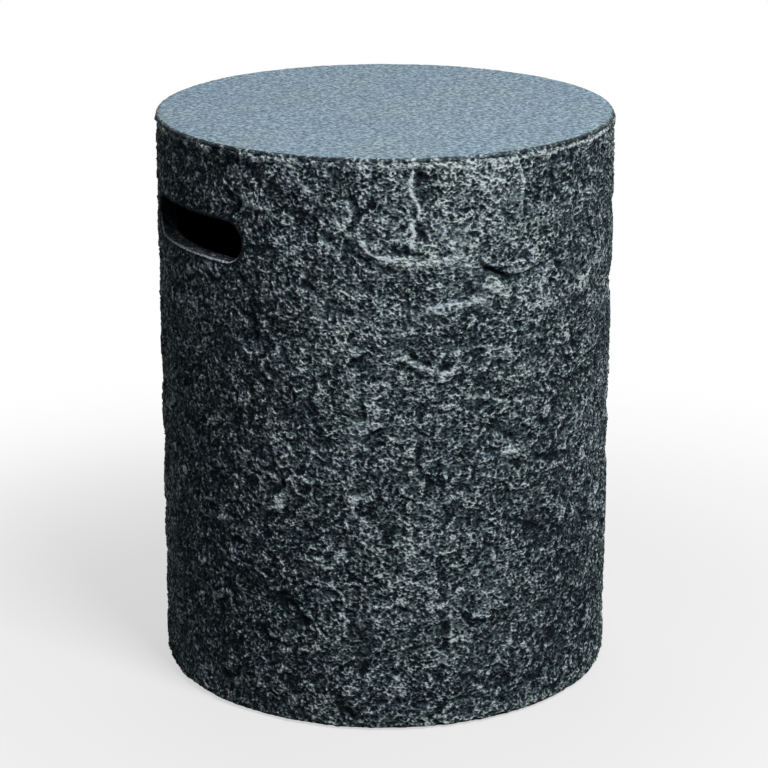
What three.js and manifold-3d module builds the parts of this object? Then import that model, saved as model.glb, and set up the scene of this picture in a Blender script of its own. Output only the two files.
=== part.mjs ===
// Round cast-stone cover for an upright gas cylinder, which doubles as a side table.
// Millimetres, +Z up. The origin is on the ground under the middle of the cover.
// The two handle slots face -X and +X, and the hose notch is at the back, towards +Y.
import * as THREE from 'three';
import { mergeVertices } from 'three/addons/utils/BufferGeometryUtils.js';
import Module from 'manifold-3d';

const wasm = await Module();
wasm.setup();

// Whole cover
const coverDiameter = 406.4;
const overallHeight = 508;
const standOff = 2;
const roundSteps = 96;
const roundingSteps = 4;

// Side wall, a drum that is a little thicker at the top, so that it leaves its mould. Its bore
// is straight where it holds the top's spigot, and for a short run below that.
const wallAtRim = 15;
const wallAtTop = 17;
const seatRunOut = 5;
const wallTopRounding = 1.5;
const rimRounding = 2.5;
const rimInnerBevel = 1;

// Hewn relief of the wall's outer face: straight waves that cross each other and set it back from
// the full radius, each some way longer than the one before. Their crests and floors are flat, and
// they die out towards the face's edges and the openings.
const hewnDepth = 2;
const hewnWaveCount = 9;
const hewnShortestWave = 45;
const hewnWaveStep = 5;
const hewnSlopeShare = 0.75;
const hewnRowHeight = 18;
const hewnFade = 16;

// Table top, a slab whose thin lip covers the wall and whose spigot drops inside it
const topEdge = 3;
const topThickness = 20;
const topSetBack = 0.8;
const topRounding = 2;
const lipBevel = 0.5;
const spigotClearance = 1.25;
const spigotBevel = 3;

// Mortar joint between the lip and the wall, raked back from the wall's rounded upper edge
const jointThickness = 1;
const jointRake = 0.6;

// Handle slots, with ends as round as they are high, their middle a drop below the top face
const slotLength = 140;
const slotHeight = 35;
const slotDrop = 83;
const slotLip = 2;
const slotEndSteps = 12;
const slotStraightSteps = 8;

// Hose notch, an arch in the lower rim
const notchWidth = 46;
const notchHeight = 44;
const notchLip = 2;
const notchArchSteps = 12;

// Feet: a rubber pad as thick as the stand-off, held by a countersunk screw in a threaded sleeve,
// close to the rim's inner edge
const footCount = 4;
const firstFootAngle = Math.PI / 4;
const footSteps = 24;
const padDiameter = 8.4;
const padBevel = 0.5;
const padFromInnerEdge = 0.3;
const screwHeadDiameter = 5;
const screwHeadRecess = 0.3;
const screwHeadEdge = 0.25;
const screwShankDiameter = 2.8;
const screwThreadLength = 5.5;
const screwTipBevel = 0.4;
const hexKeyAcrossCorners = 2.3;
const hexKeyDepth = 1;
const insertDiameter = 4.8;
const insertLength = 8;
const insertGroove = 0.4;
const insertBandShares = [0.3, 0.4, 0.6, 0.7];

// Gap round a piece that fits in another, and how far a cut runs past what it cuts
const fitGap = 0.3;
const overrun = 5;
const cutterReachShare = 0.75;

// Sizes that follow
const wallRadius = coverDiameter / 2;
const rimHeight = standOff;
const lipHeight = overallHeight - topEdge;
const wallTopHeight = lipHeight - jointThickness;
const seatRadius = wallRadius - wallAtTop;
const rimInnerRadius = wallRadius - wallAtRim;
const topRadius = wallRadius - topSetBack;
const spigotRadius = seatRadius - spigotClearance;
const spigotUnderside = overallHeight - topThickness;
const faceFoot = rimHeight + rimRounding;
const faceHead = wallTopHeight - wallTopRounding;
const slotCentreHeight = overallHeight - slotDrop;
const slotEndCentre = (slotLength - slotHeight) / 2;
const notchSpringHeight = rimHeight + notchHeight - notchWidth / 2;
const padRadius = padDiameter / 2;
const headRadius = screwHeadDiameter / 2;
const shankRadius = screwShankDiameter / 2;
const headConeFoot = screwHeadRecess + screwHeadEdge;
const headConeTop = headConeFoot + headRadius - shankRadius;
const rimFlatOuter = wallRadius - rimRounding;
const rimFlatInner = rimInnerRadius + rimInnerBevel;
const footCircleRadius = rimFlatInner + padFromInnerEdge + padRadius;

const materials = {
  sideStone: new THREE.MeshStandardMaterial({ color: '#3c474b', roughness: 0.92, metalness: 0 }),
  topStone: new THREE.MeshStandardMaterial({ color: '#8fa0ab', roughness: 0.8, metalness: 0 }),
  mortar: new THREE.MeshStandardMaterial({ color: '#1d2326', roughness: 0.97, metalness: 0 }),
  rubber: new THREE.MeshStandardMaterial({ color: '#161718', roughness: 0.85, metalness: 0 }),
  steel: new THREE.MeshStandardMaterial({ color: '#9a9fa3', roughness: 0.35, metalness: 1 }),
  brass: new THREE.MeshStandardMaterial({ color: '#b08d4f', roughness: 0.4, metalness: 1 }),
};

// Points of a quarter round, from one angle to another
function rounding(centreRadius, centreHeight, radius, fromAngle, toAngle) {
  const points = [];
  for (let step = 0; step <= roundingSteps; step += 1) {
    const angle = fromAngle + ((toAngle - fromAngle) * step) / roundingSteps;
    points.push([centreRadius + radius * Math.cos(angle), centreHeight + radius * Math.sin(angle)]);
  }
  return points;
}

// A body turned about Z from a profile of [radius, height] points
function turned(profile, steps) {
  const points = profile.map(([radius, height]) => new THREE.Vector2(radius, height));
  return new THREE.LatheGeometry(points, steps).rotateX(Math.PI / 2);
}

// The closed body that a geometry bounds, with shared corners and no empty triangles
function toSolid(geometry) {
  const bare = geometry.clone();
  bare.deleteAttribute('normal');
  bare.deleteAttribute('uv');
  const merged = mergeVertices(bare);
  const corners = merged.index.array;
  const kept = [];
  for (let i = 0; i < corners.length; i += 3) {
    const [a, b, c] = [corners[i], corners[i + 1], corners[i + 2]];
    if (a !== b && b !== c && c !== a) kept.push(a, b, c);
  }
  return new wasm.Manifold(new wasm.Mesh({
    numProp: 3,
    vertProperties: new Float32Array(merged.attributes.position.array),
    triVerts: new Uint32Array(kept),
  }));
}

function piece(name, solid, material) {
  const { vertProperties, triVerts } = solid.getMesh();
  const shared = new THREE.BufferGeometry();
  shared.setAttribute('position', new THREE.BufferAttribute(vertProperties, 3));
  shared.setIndex(new THREE.BufferAttribute(triVerts, 1));
  const faceted = shared.toNonIndexed();
  faceted.computeVertexNormals();
  const mesh = new THREE.Mesh(faceted, material);
  mesh.name = name;
  return mesh;
}

// A slot's outline as [across, height] points, anticlockwise from outside, spread by a lip
function slotOutline(spread) {
  const radius = slotHeight / 2 + spread;
  const points = [];
  for (const side of [1, -1]) {
    for (let step = 0; step <= slotEndSteps; step += 1) {
      const angle = side * (-Math.PI / 2) + (Math.PI * step) / slotEndSteps;
      const across = side * slotEndCentre + radius * Math.cos(angle);
      points.push([across, slotCentreHeight + radius * Math.sin(angle)]);
    }
    for (let step = 1; step < slotStraightSteps; step += 1) {
      const across = side * slotEndCentre * (1 - (2 * step) / slotStraightSteps);
      points.push([across, slotCentreHeight + side * radius]);
    }
  }
  return points;
}

// The notch's outline, an arch that runs down past the rim
function notchOutline(spread) {
  const radius = notchWidth / 2 + spread;
  const points = [[radius, rimHeight - overrun]];
  for (let step = 0; step <= notchArchSteps; step += 1) {
    const angle = (Math.PI * step) / notchArchSteps;
    points.push([radius * Math.cos(angle), notchSpringHeight + radius * Math.sin(angle)]);
  }
  points.push([-radius, rimHeight - overrun]);
  return points;
}

// A cutter that goes straight through the wall towards +X. Its flat ends lie clear of the
// wall, and the loops between them follow the wall's curve, so that the outer lip is round.
function wallCutter(outlineAt, lip) {
  const onCylinder = (radius) => (across) => Math.sqrt(radius * radius - across * across);
  const loops = [{ spread: 0, reach: () => wallRadius * cutterReachShare }];
  for (let step = 0; step <= roundingSteps; step += 1) {
    const angle = ((Math.PI / 2) * step) / roundingSteps;
    const radius = wallRadius - lip + lip * Math.sin(angle);
    loops.push({ spread: lip - lip * Math.cos(angle), reach: onCylinder(radius) });
  }
  loops.push({ spread: lip, reach: () => wallRadius + overrun });

  const positions = [];
  for (const { spread, reach } of loops) {
    for (const [across, height] of outlineAt(spread)) positions.push(reach(across), across, height);
  }
  const count = outlineAt(0).length;
  const triangles = [];
  for (let ring = 0; ring + 1 < loops.length; ring += 1) {
    for (let i = 0; i < count; i += 1) {
      const next = (i + 1) % count;
      const [a, b] = [ring * count + i, ring * count + next];
      triangles.push(a, b, b + count, a, b + count, a + count);
    }
  }
  const lastRing = (loops.length - 1) * count;
  for (let i = 1; i + 1 < count; i += 1) {
    triangles.push(0, i + 1, i);
    triangles.push(lastRing, lastRing + i, lastRing + i + 1);
  }
  const geometry = new THREE.BufferGeometry();
  geometry.setAttribute('position', new THREE.Float32BufferAttribute(positions, 3));
  geometry.setIndex(triangles);
  return geometry;
}

function footPlace(index) {
  const angle = firstFootAngle + (2 * Math.PI * index) / footCount;
  return [footCircleRadius * Math.cos(angle), footCircleRadius * Math.sin(angle), 0];
}

// The hole for the sleeve that is cast into the rim
function insertHole() {
  const holeRadius = insertDiameter / 2 + fitGap;
  const holeTop = rimHeight + insertLength + fitGap;
  const holeFoot = rimHeight - overrun;
  const length = holeTop - holeFoot;
  return new THREE.CylinderGeometry(holeRadius, holeRadius, length, footSteps)
    .rotateX(Math.PI / 2)
    .translate(0, 0, (holeFoot + holeTop) / 2);
}

// The waves of the hewn relief. They turn by the golden angle from one to the next, and each has
// a whole number of crests round the wall.
function hewnWaves() {
  const goldenAngle = Math.PI * (3 - Math.sqrt(5));
  const waves = [];
  for (let number = 0; number < hewnWaveCount; number += 1) {
    const heading = number * goldenAngle;
    const perLength = (2 * Math.PI) / (hewnShortestWave + number * hewnWaveStep);
    waves.push({
      perTurn: Math.round(wallRadius * perLength * Math.cos(heading)),
      perHeight: perLength * Math.sin(heading),
      lag: number * number,
    });
  }
  return waves;
}

// Height of the waves, from -1 on their floors to 1 on their crests
function hewnSwell(waves, angle, height) {
  let sum = 0;
  for (const { perTurn, perHeight, lag } of waves) {
    sum += Math.sin(perTurn * angle + perHeight * height + lag);
  }
  const swell = (hewnSlopeShare * sum) / Math.sqrt(waves.length / 2);
  return Math.max(-1, Math.min(1, swell));
}

// Share of the relief at a place on the face: none at its edges and at the openings' lips
function hewnShare(angle, height) {
  const round = wallRadius * Math.PI;
  const across = wallRadius * angle;
  const fromSlotMiddle = Math.abs(((Math.abs(across) + round / 2) % round) - round / 2);
  const besideSlot = Math.hypot(Math.max(fromSlotMiddle - slotEndCentre, 0), height - slotCentreHeight);
  const besideNotch = Math.hypot(across - round / 2, Math.max(height - notchSpringHeight, 0));
  const clear = Math.min(
    height - faceFoot,
    faceHead - height,
    besideSlot - slotHeight / 2 - slotLip,
    besideNotch - notchWidth / 2 - notchLip,
  );
  return THREE.MathUtils.smoothstep(clear, 0, hewnFade);
}

// Sets the outer face of the turned wall back by its relief
function hewFace(geometry) {
  const waves = hewnWaves();
  const places = geometry.attributes.position;
  const floatGap = fitGap / 100;
  for (let i = 0; i < places.count; i += 1) {
    const [x, y, height] = [places.getX(i), places.getY(i), places.getZ(i)];
    const radius = Math.hypot(x, y);
    if (radius > wallRadius - floatGap && height > faceFoot && height < faceHead) {
      const angle = Math.atan2(y, x);
      const setBack = (hewnDepth * hewnShare(angle, height) * (1 - hewnSwell(waves, angle, height))) / 2;
      places.setX(i, (x * (radius - setBack)) / radius);
      places.setY(i, (y * (radius - setBack)) / radius);
    }
  }
  return geometry;
}

// Points between the face's foot and its head
function faceRows() {
  const count = Math.round((faceHead - faceFoot) / hewnRowHeight);
  const rows = [];
  for (let row = 1; row < count; row += 1) {
    rows.push([wallRadius, faceFoot + ((faceHead - faceFoot) * row) / count]);
  }
  return rows;
}

function drumWall() {
  const profile = [
    [rimInnerRadius, rimHeight + rimInnerBevel],
    [rimFlatInner, rimHeight],
    ...rounding(rimFlatOuter, faceFoot, rimRounding, -Math.PI / 2, 0),
    ...faceRows(),
    ...rounding(wallRadius - wallTopRounding, faceHead, wallTopRounding, 0, Math.PI / 2),
    [seatRadius, wallTopHeight],
    [seatRadius, spigotUnderside - seatRunOut],
    [rimInnerRadius, rimHeight + rimInnerBevel],
  ];
  const slotCutter = wallCutter(slotOutline, slotLip);
  const cutters = [
    slotCutter,
    slotCutter.clone().rotateZ(Math.PI),
    wallCutter(notchOutline, notchLip).rotateZ(Math.PI / 2),
  ];
  for (let index = 0; index < footCount; index += 1) {
    cutters.push(insertHole().translate(...footPlace(index)));
  }
  let solid = toSolid(hewFace(turned(profile, roundSteps)));
  for (const cutter of cutters) solid = solid.subtract(toSolid(cutter));
  return piece('drum_wall', solid, materials.sideStone);
}

function tableTop() {
  const profile = [
    [0, spigotUnderside],
    [spigotRadius - spigotBevel, spigotUnderside],
    [spigotRadius, spigotUnderside + spigotBevel],
    [spigotRadius, lipHeight],
    [topRadius - lipBevel, lipHeight],
    [topRadius, lipHeight + lipBevel],
    ...rounding(topRadius - topRounding, overallHeight - topRounding, topRounding, 0, Math.PI / 2),
    [0, overallHeight],
  ];
  return piece('table_top', toSolid(turned(profile, roundSteps)), materials.topStone);
}

function mortarJoint() {
  const outerRadius = wallRadius - wallTopRounding - jointRake;
  const profile = [
    [seatRadius, wallTopHeight],
    [outerRadius, wallTopHeight],
    [outerRadius, lipHeight],
    [seatRadius, lipHeight],
    [seatRadius, wallTopHeight],
  ];
  return piece('mortar_joint', toSolid(turned(profile, roundSteps)), materials.mortar);
}

function footPad(name) {
  const profile = [
    [headRadius + fitGap, 0],
    [padRadius - padBevel, 0],
    [padRadius, padBevel],
    [padRadius, rimHeight],
    [shankRadius + fitGap, rimHeight],
    [shankRadius + fitGap, headConeTop],
    [headRadius + fitGap, headConeFoot],
    [headRadius + fitGap, 0],
  ];
  return piece(name, toSolid(turned(profile, footSteps)), materials.rubber);
}

function footScrew(name) {
  const tip = rimHeight + screwThreadLength;
  const profile = [
    [0, screwHeadRecess],
    [headRadius, screwHeadRecess],
    [headRadius, headConeFoot],
    [shankRadius, headConeTop],
    [shankRadius, tip - screwTipBevel],
    [shankRadius - screwTipBevel, tip],
    [0, tip],
  ];
  const keyLength = hexKeyDepth + overrun;
  const keyRadius = hexKeyAcrossCorners / 2;
  const keyCentre = screwHeadRecess + hexKeyDepth - keyLength / 2;
  const key = new THREE.CylinderGeometry(keyRadius, keyRadius, keyLength, 6)
    .rotateX(Math.PI / 2)
    .translate(0, 0, keyCentre);
  const solid = toSolid(turned(profile, footSteps)).subtract(toSolid(key));
  return piece(name, solid, materials.steel);
}

function footInsert(name) {
  const outer = insertDiameter / 2;
  const waist = outer - insertGroove;
  const bore = shankRadius + fitGap;
  const bandHeights = insertBandShares.map((share) => rimHeight + insertLength * share);
  const profile = [
    [bore, rimHeight],
    [outer, rimHeight],
    [outer, bandHeights[0]],
    [waist, bandHeights[1]],
    [waist, bandHeights[2]],
    [outer, bandHeights[3]],
    [outer, rimHeight + insertLength],
    [bore, rimHeight + insertLength],
    [bore, rimHeight],
  ];
  return piece(name, toSolid(turned(profile, footSteps)), materials.brass);
}

function foot(index) {
  const group = new THREE.Group();
  const label = index + 1;
  group.add(footPad(`foot_pad_${label}`));
  group.add(footScrew(`foot_screw_${label}`));
  group.add(footInsert(`foot_insert_${label}`));
  group.position.set(...footPlace(index));
  return group;
}

const cover = new THREE.Group();
cover.add(drumWall(), mortarJoint(), tableTop());
for (let index = 0; index < footCount; index += 1) cover.add(foot(index));

export default cover;
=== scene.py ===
# Looks of the round cast-stone cover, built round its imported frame. Metres, +Z up.
import itertools
import math

import bpy
import numpy as np
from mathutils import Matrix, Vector


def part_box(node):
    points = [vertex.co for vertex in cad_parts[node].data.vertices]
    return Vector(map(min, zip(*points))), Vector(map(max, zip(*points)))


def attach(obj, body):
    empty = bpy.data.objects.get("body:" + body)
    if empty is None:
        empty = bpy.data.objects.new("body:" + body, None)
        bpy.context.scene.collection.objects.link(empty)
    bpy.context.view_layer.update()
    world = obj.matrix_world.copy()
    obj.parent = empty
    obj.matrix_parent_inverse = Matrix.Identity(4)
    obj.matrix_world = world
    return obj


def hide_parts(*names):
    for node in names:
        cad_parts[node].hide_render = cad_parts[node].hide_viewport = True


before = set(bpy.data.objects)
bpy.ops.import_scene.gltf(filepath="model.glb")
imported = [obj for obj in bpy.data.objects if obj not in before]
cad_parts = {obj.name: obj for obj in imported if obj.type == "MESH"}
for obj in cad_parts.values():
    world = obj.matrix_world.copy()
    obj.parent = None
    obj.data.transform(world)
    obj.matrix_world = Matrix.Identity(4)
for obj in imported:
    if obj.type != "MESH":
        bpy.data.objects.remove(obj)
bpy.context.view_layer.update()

# Camera, as fitted to the photograph's outline, in its 768 x 768 frame
image_pixels = 768
focal_pixels = 2722.0
sensor_width = 0.036
camera_azimuth = math.radians(-32.8)
camera_turn = math.radians(0.024)
camera_pitch = math.radians(17.733)
camera_distance = 2.3608
camera_height = 1.0067

# Sizes read from the frame
wall_low, wall_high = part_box("drum_wall")
top_low, top_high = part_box("table_top")
joint_low, joint_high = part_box("mortar_joint")
cad_wall_radius = wall_high.x
rim_height = wall_low.z
wall_top = wall_high.z
lip_underside = joint_high.z
cad_top_radius = top_high.x
top_face = top_high.z

# Sizes of the wall that its box doesn't give
wall_at_rim = 0.015
wall_at_top = 0.017
seat_foot = 0.483
wall_top_rounding = 0.0006
rim_rounding = 0.0025
rim_inner_bevel = 0.001
slot_length = 0.140
slot_height = 0.035
slot_centre = 0.425
notch_width = 0.046
notch_spring = 0.023
opening_lip = 0.002

# Sizes of the top that its box doesn't give
top_worn_back = 0.0006
top_rounding = 0.002
lip_bevel = 0.0003
spigot_radius = 0.18495
spigot_bevel = 0.003
spigot_underside = top_low.z
top_radius = cad_top_radius - top_worn_back

# Mesh steps
cell = 0.0012
round_steps = 8 * round(2 * math.pi * cad_wall_radius / cell / 8)
rounding_steps = 4
collar_steps = 5
tunnel_steps = 6
collar_margin = 0.006
coarse_step = 0.012
seat_steps, rim_steps, lip_side_steps = 8, 9, 4
below_rings, below_hub_share = 12, 0.02
edge_probe = 0.001

# UV maps. The wall's inside and the walls of its openings are drawn in, because they hardly show. The top's
# underside has its place in a corner that the round upper side leaves free.
strip_margin = 0.01
inside_map_share, tunnel_map_share = 0.2, 0.15
face_place_radius, edge_place_radius = 0.38, 0.5
below_place_middle, below_place_radius = 0.08, 0.075

# Relief of the rough side, in metres from the face that it plays round
face_set_back = 0.0018
relief_ceiling = face_set_back - 0.00003
wall_face = cad_wall_radius - face_set_back
grain_squeeze = np.array([1.0, 1.0, 1.12])

# The waves of the broad hewn relief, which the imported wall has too
hewn_depth = 0.0020
hewn_wave_count = 9
hewn_shortest_wave = 0.045
hewn_wave_step = 0.005
hewn_slope_share = 0.75
hewn_fade = 0.016

# Marks of the casting, traced in the photograph's pixels. A ridge stands up and a crease is cut in.
# A ledge is raised on the left of its line, as seen on the way from its first point to its last.
photo_spurs = {
    "head of the spur": [(412, 171), (411, 178), (408, 185)],
    "spur below the rim": [(408, 185), (412, 197), (418, 206), (420, 211), (418, 217), (414, 221)],
    "foot of the spur": [(411, 222), (411, 229), (413, 236), (412, 244), (410, 249)],
}
photo_ridges = {
    "left toe of the spur": [(387, 247), (393, 242), (399, 241), (406, 244)],
    "branch of the spur": [(388, 235), (395, 230), (400, 223)],
    "lower left edge of the panel": [(358, 233), (361, 243), (366, 252), (380, 258), (396, 262)],
    "brow right of the spur": [(455, 232), (470, 232), (478, 230), (486, 223)],
    "right brow": [(490, 232), (502, 235), (515, 243), (517, 257)],
    "rib beside the brow": [(464, 172), (470, 180), (468, 190)],
    "short rib above the shelf": [(445, 238), (457, 246)],
    "band below the shelf": [(470, 280), (482, 286), (498, 294), (512, 295), (521, 290)],
    "long thin line": [(422, 312), (432, 308), (445, 305), (458, 303), (470, 303), (484, 300)],
    "right diagonal": [(573, 290), (580, 282), (588, 270), (595, 262), (603, 258)],
    "rib at the upper right": [(565, 185), (570, 195), (568, 207)],
    "arch at the upper right": [(580, 195), (590, 188), (597, 195)],
    "rib above the slot": [(212, 200), (214, 215)],
    "rib by the slot's end": [(244, 222), (251, 235)],
    "upper left tick": [(302, 190), (312, 192)],
    "curved flake": [(311, 198), (318, 203), (326, 208), (333, 214), (339, 228), (348, 236), (358, 244)],
    "over the curved flake": [(292, 176), (300, 184), (309, 190), (322, 198)],
    "left strand": [(218, 310), (226, 322)],
    "left strand below": [(240, 337), (245, 345), (246, 353)],
    "left loop": [(222, 387), (235, 395), (238, 405)],
    "left vee": [(234, 447), (246, 456), (253, 448)],
    "left hook": [(258, 462), (260, 470), (280, 480)],
    "middle dash": [(320, 364), (333, 364)],
    "middle slope": [(355, 502), (365, 495), (377, 488)],
    "right tick": [(455, 352), (465, 348)],
    "right bow": [(533, 375), (540, 370), (550, 377)],
    "right shelf": [(472, 397), (490, 397), (502, 402), (520, 402), (535, 396)],
    "lower right slope": [(478, 596), (490, 592), (498, 585), (505, 577)],
    "lower right hook": [(515, 660), (517, 650), (522, 645), (530, 648)],
    "right side of the crack": [(450, 618), (452, 630), (450, 640), (452, 655)],
    "lower left bow": [(216, 543), (227, 553)],
    "lower left wall": [(238, 580), (243, 594), (248, 608)],
    "lower left corner": [(200, 578), (213, 588)],
    "low tick": [(360, 620), (372, 618), (385, 622)],
    "low pair": [(303, 712), (318, 718)],
}
photo_swells = {
    "shelf under the spur": [(360, 244), (374, 254), (394, 262), (413, 265), (431, 262), (454, 260),
                             (474, 250)],
    "panel's lower left": [(358, 226), (360, 240), (368, 248)],
    "slope below the brow": [(457, 244), (467, 268), (487, 287), (505, 296)],
    "over the long line": [(418, 316), (440, 310), (470, 305), (500, 298)],
    "seam below the panel": [(350, 345), (350, 380), (352, 420), (351, 460), (353, 500)],
    "left of the panel": [(284, 172), (300, 186), (318, 204)],
    "below the left flake": [(327, 240), (338, 262), (347, 282)],
    "lower middle": [(470, 462), (500, 454), (530, 446)],
    "low middle": [(395, 560), (420, 548), (446, 546)],
    "low right": [(480, 612), (500, 600), (515, 590)],
    "low left": [(300, 560), (322, 566), (345, 560)],
}
photo_ledges = {
    "right scarp": [(477, 257), (484, 263), (493, 268), (505, 272), (519, 272), (531, 268), (540, 264),
                    (549, 261)],
    "flake below it": [(332, 252), (328, 242), (321, 235)],
    "left scarp": [(205, 265), (211, 271), (217, 279)],
    "terrace in the middle": [(462, 366), (440, 372), (420, 364), (402, 352)],
    "left terrace": [(262, 372), (267, 378), (273, 384)],
    "middle terrace": [(363, 436), (377, 430), (391, 428)],
    "right terrace": [(520, 422), (527, 426), (534, 428)],
    "low terrace": [(388, 609), (400, 607), (411, 611)],
    "low left terrace": [(268, 634), (275, 638), (281, 641)],
    "right edge terrace": [(583, 356), (589, 350), (594, 346)],
}
photo_creases = {
    "crevice under the shelf": [(350, 247), (359, 257), (373, 264), (390, 271), (408, 275)],
    "under the right scarp": [(481, 262), (488, 270), (498, 270), (508, 279), (520, 276)],
    "under the toe": [(394, 252), (403, 254), (413, 253)],
    "notch by the spur": [(417, 168), (419, 176), (417, 184), (421, 193), (432, 195)],
    "hollow by the spur": [(419, 172), (423, 180)],
    "right of the spur's foot": [(417, 222), (420, 230), (423, 240)],
    "crack": [(445, 617), (446, 635), (447, 655)],
    "right crack": [(568, 440), (570, 451), (571, 462)],
    "left crack": [(250, 308), (253, 322), (255, 336), (256, 346)],
    "left pocket": [(280, 346), (284, 354), (286, 362)],
    "low left crack": [(285, 600), (294, 606), (301, 613), (305, 625)],
    "under the right shelf": [(500, 431), (510, 436), (521, 437)],
    "middle pocket": [(405, 366), (413, 371), (421, 377)],
    "right pocket": [(535, 456), (547, 458), (560, 455)],
    "upper right pocket": [(502, 206), (507, 215), (512, 225)],
    "low right pocket": [(510, 521), (525, 525), (541, 528)],
    "low pocket": [(340, 706), (349, 712), (358, 718)],
    "pocket below the flake": [(300, 286), (308, 288), (315, 292)],
}
# Short low ridges in between
photo_ticks = [
    [(505, 345), (508, 355)], [(525, 335), (545, 338)], [(398, 487), (406, 495)], [(415, 500), (440, 510)],
    [(573, 600), (578, 592)], [(480, 670), (490, 665)], [(400, 685), (403, 703)], [(473, 700), (478, 706)],
    [(224, 562), (234, 567)], [(262, 345), (272, 350)], [(262, 450), (273, 463)], [(204, 497), (218, 503)],
    [(320, 550), (335, 550)], [(325, 695), (340, 700)], [(280, 285), (290, 290)], [(218, 185), (224, 190)],
    [(258, 178), (268, 184)], [(600, 205), (605, 215), (612, 218)], [(525, 305), (540, 307)],
    [(500, 455), (515, 450)], [(572, 480), (576, 490)],
]
# Large areas with more or less paint, and painted light among them: painted shade on the left and lower
# sides and under the ledges, and a painted highlight on the lit shelf. Given as the middle in pixels, the
# reach in metres and the amount
photo_tones = {
    "upper right": ((480, 215), 0.085, 0.55),
    "upper middle": ((385, 190), 0.060, 0.25),
    "middle": ((450, 400), 0.110, 0.15),
    # Painted shade on the left side
    "left side": ((200, 420), 0.110, -0.30),
    "over the slot": ((190, 190), 0.060, -0.50),
    "right of the slot": ((250, 300), 0.040, -0.30),
    "right half of the rim": ((475, 168), 0.030, 0.60),
    "right end of the rim": ((570, 150), 0.030, -0.80),
    "left half of the rim": ((295, 166), 0.030, -0.30),
    # Painted highlight along the lit top of the shelf
    "left end of the shelf": ((386, 260), 0.006, 1.30),
    "left of the shelf": ((400, 264), 0.006, 1.70),
    "left half of the shelf": ((415, 265), 0.006, 1.80),
    "right half of the shelf": ((430, 263), 0.006, 1.80),
    "right of the shelf": ((445, 261), 0.006, 1.70),
    "right end of the shelf": ((460, 258), 0.006, 1.50),
    "bowl beside the spur": ((446, 240), 0.009, 0.70),
    # Painted shade in the hollows beside the spur
    "notch beside the spur": ((425, 180), 0.006, -1.20),
    "beside the foot of the spur": ((420, 234), 0.004, -1.20),
    "right of the middle": ((565, 380), 0.050, -0.25),
    "low middle": ((440, 600), 0.060, 0.25),
    # Darker over the shelf, and painted shade under it and below the brow
    "over the shelf": ((400, 250), 0.007, -0.80),
    "under the shelf": ((420, 280), 0.014, -0.60),
    "below the brow": ((500, 245), 0.012, -0.70),
    "above the seam": ((440, 340), 0.016, -0.30),
    "panel's left side": ((358, 242), 0.012, 0.55),
    "right of the brow": ((540, 240), 0.013, 0.65),
    "end of the long line": ((480, 298), 0.010, 0.50),
    "start of the long line": ((412, 328), 0.012, 0.60),
    "below the long line": ((510, 330), 0.012, -0.55),
    "low flat on the left": ((330, 575), 0.012, -0.60),
    "low flat on the right": ((545, 680), 0.016, -0.70),
    "low crest in the middle": ((365, 660), 0.012, 0.40),
    # Painted shade, darker towards the lower left and lower right
    "lower left": ((225, 600), 0.100, -0.55),
    "lower right": ((570, 590), 0.090, -0.70),
    "left of the middle": ((340, 320), 0.045, 0.35),
}

# Heights and widths of the marks, and the paint that they took, with painted shade at the ledges' feet and
# in the creases
spur_height, spur_width, spur_paint = 0.0024, 0.0012, 5.4
ridge_height, ridge_width, ridge_paint = 0.0013, 0.0014, 1.9
swell_height, swell_width, swell_paint = 0.0012, 0.0042, 0.9
ledge_height, ledge_run, ledge_depth, ledge_foot = 0.0013, 0.009, 0.0022, 0.0045
ledge_blend, ledge_edge, ledge_edge_width = 0.0006, 0.0018, 0.0026
ledge_paint, ledge_foot_painted_shade = 1.4, 1.6
crease_depth, crease_width, crease_paint_and_shade = 0.0024, 0.0028, 2.0
tick_share = 0.75
mark_reach = 0.022
mark_ends, mark_end_share = 0.35, 0.25
mark_warp, mark_jag, marked_paint = 0.0008, 0.0006, 2.4

# Bends of the relief's patterns: the size of the bends, their seeds and how far they go
warp_size, warp_seeds, warp_reach = 0.020, (11, 12, 13), 0.004
jag_size, jag_seeds, jag_reach = 0.0075, (14, 15, 16), 0.0014

# Lumps of the relief, as size, seed, layers and lean, and the treads that flakes and chips break into
flake_lumps, chip_lumps = (0.036, 30, 2, 0.008), (0.019, 33, 2, 0.005)
body_lumps, knob_lumps = (0.022, 40, 2, 0.008), (0.0100, 43, 2, 0.004)
flake_treads, chip_treads = 2.0, 1.2
riser_start, brink_width, riser_foot, riser_foot_width = 0.72, 0.16, 0.66, 0.15

# Single noises of the relief, as size and seed
worked_noise, pit_noise, broken_noise = (0.024, 58), (0.013, 45), (0.0050, 70)
crest_noise, fine_crest_noise, grit_noise = (0.0070, 50), (0.0046, 51), (0.0034, 52)
vein_noise, veined_noise = (0.030, 54), (0.035, 55)

# Ribs, as size and seed, with a hollow along one side of each, darkened with a painted shadow
rib_sizes = {0.040: 91, 0.026: 92, 0.017: 93}
rib_height, rib_width, rib_crest_paint = 0.0011, 0.0011, 1.7
rib_hollow, rib_hollow_width, rib_hollow_painted_shadow = 0.0009, 0.0017, 1.3
rib_hollow_place = 2.2 * rib_width

# Heights of the relief's other layers, and the paint that they took, with painted shade at the risers' feet
# and in the rib hollows
flake_height, flake_brink_and_shade_paint = 0.0012, 0.9
chip_height, chip_brink_and_shade_paint = 0.0007, 0.6
lump_height, knob_height, body_paint = 0.0010, 0.0008, 0.30
fine_height, fine_paint = 0.00040, 0.45
pit_depth, pit_paint = 0.0012, 0.9
vein_height, vein_paint = 0.0005, 1.2
face_lift = 0.0003
ceiling_bend = 0.0003

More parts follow.
